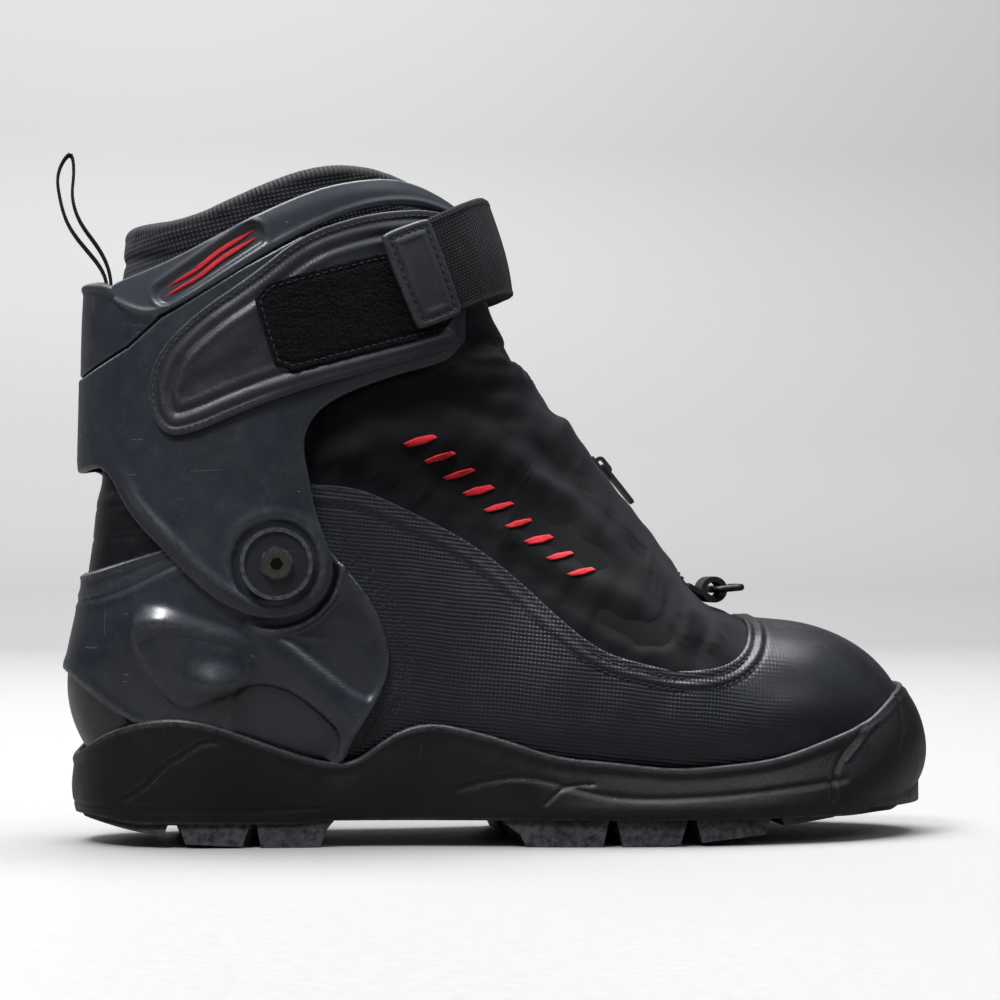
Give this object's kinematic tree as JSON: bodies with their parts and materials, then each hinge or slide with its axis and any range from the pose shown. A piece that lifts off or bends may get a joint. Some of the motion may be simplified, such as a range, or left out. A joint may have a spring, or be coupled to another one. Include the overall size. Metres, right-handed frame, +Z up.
{
  "type": "cross country ski boot",
  "caption": "Right backcountry cross country ski boot with a hinged cuff, lace cover with zip, ankle strap, lugged sole and a steel binding bar at the toe.",
  "frame": {"origin": "on the ground plane, directly under the ankle pivot axis, at mid-width", "axes": "+X to the toe, +Y to the medial side, +Z up"},
  "size_m": [0.2953, 0.1036, 0.2262],
  "materials": {
    "rubber_rand": "satin moulded",
    "rubber_tread": "matte moulded",
    "steel_bar": "polished",
    "board": "matte",
    "foam": "knit",
    "footbed": "felt",
    "vamp_textile": "embossed coated textile",
    "softshell": "matte stretch softshell",
    "counter_plastic": "satin",
    "cuff_plastic": "satin",
    "trim_plastic": "soft gloss",
    "flap_textile": "coated textile",
    "loop_pile": "pile",
    "webbing": "ribbed webbing",
    "tab_rubber": "matte moulded",
    "mesh": "spacer mesh",
    "cord": "braided",
    "zip_tape": "twill",
    "zip_metal": "satin",
    "hardware": "satin",
    "hinge_plastic": "soft gloss",
    "bush": "matte",
    "red": "satin"
  },
  "bodies": {
    "lower_boot": {"midsole_rand": "rubber_rand", "outsole": "rubber_tread", "toe_bar": "steel_bar", "shank_board": "board", "footbed": "footbed", "vamp": "vamp_textile", "lace_cover": "softshell", "rear_quarter": "vamp_textile", "heel_counter": "counter_plastic", "foot_liner": "foam", "tongue": "mesh", "eyestay": "webbing", "lace_hooks": "hardware", "lace": "cord", "zip_tape": "zip_tape", "zip_chain": "zip_metal", "gaiter_tab": "webbing", "pivot_bushes": "bush", "pivot_nuts": "steel_bar", "pivot_discs": "hinge_plastic", "pivot_bolts": "hardware"},
    "cuff": {"cuff_shell": "cuff_plastic", "cuff_spine": "cuff_plastic", "collar_band": "trim_plastic", "lateral_flap": "flap_textile", "medial_flap": "flap_textile", "loop_patch": "loop_pile", "strap_anchor": "tab_rubber", "badges": "red", "collar_padding": "mesh", "cover_gusset": "softshell", "tongue_top": "mesh"},
    "strap": {"strap_webbing": "webbing"},
    "strap_end": {"strap_end": "webbing", "strap_tab": "tab_rubber", "hook_pad": "loop_pile"},
    "zip_slider": {"zip_slider": "zip_metal"},
    "zip_pull": {"zip_pull": "zip_metal"},
    "gaiter_ring": {"gaiter_ring": "hardware"},
    "pull_loop": {"pull_loop": "webbing"}
  },
  "joints": [
    {"name": "cuff_pivot", "type": "hinge", "parent": "lower_boot", "child": "cuff", "pos_m": [0, 0, 0.0905], "axis": [0, 1, 0], "range_deg": [-5, 18], "stiffness_Nm_per_rad": 2},
    {"name": "strap_swing", "type": "hinge", "parent": "cuff", "child": "strap", "pos_m": [0.0385, 0.04932, 0.179], "axis": [-0.3702, 0, 0.9289], "range_deg": [0, 95]},
    {"name": "strap_peel", "type": "hinge", "parent": "strap", "child": "strap_end", "pos_m": [0.0674, -0.03191, 0.192], "axis": [-0.3703, 0, 0.9289], "range_deg": [0, 100]},
    {"name": "zip_slide", "type": "slide", "parent": "lower_boot", "child": "zip_slider", "axis": [0.6319, 0, -0.7751], "range_m": [0, 0.034]},
    {"name": "zip_pull_flip", "type": "hinge", "parent": "zip_slider", "child": "zip_pull", "pos_m": [0.1134, 0, 0.12351], "axis": [0, -1, 0], "range_deg": [0, 100]},
    {"name": "gaiter_ring_flip", "type": "hinge", "parent": "lower_boot", "child": "gaiter_ring", "pos_m": [0.1505, 0, 0.082], "axis": [0, -1, 0], "range_deg": [-15, 120]},
    {"name": "pull_loop_flex", "type": "hinge", "parent": "cuff", "child": "pull_loop", "pos_m": [-0.051, 0, 0.18], "axis": [0, 1, 0], "range_deg": [-30, 8]}
  ]
}
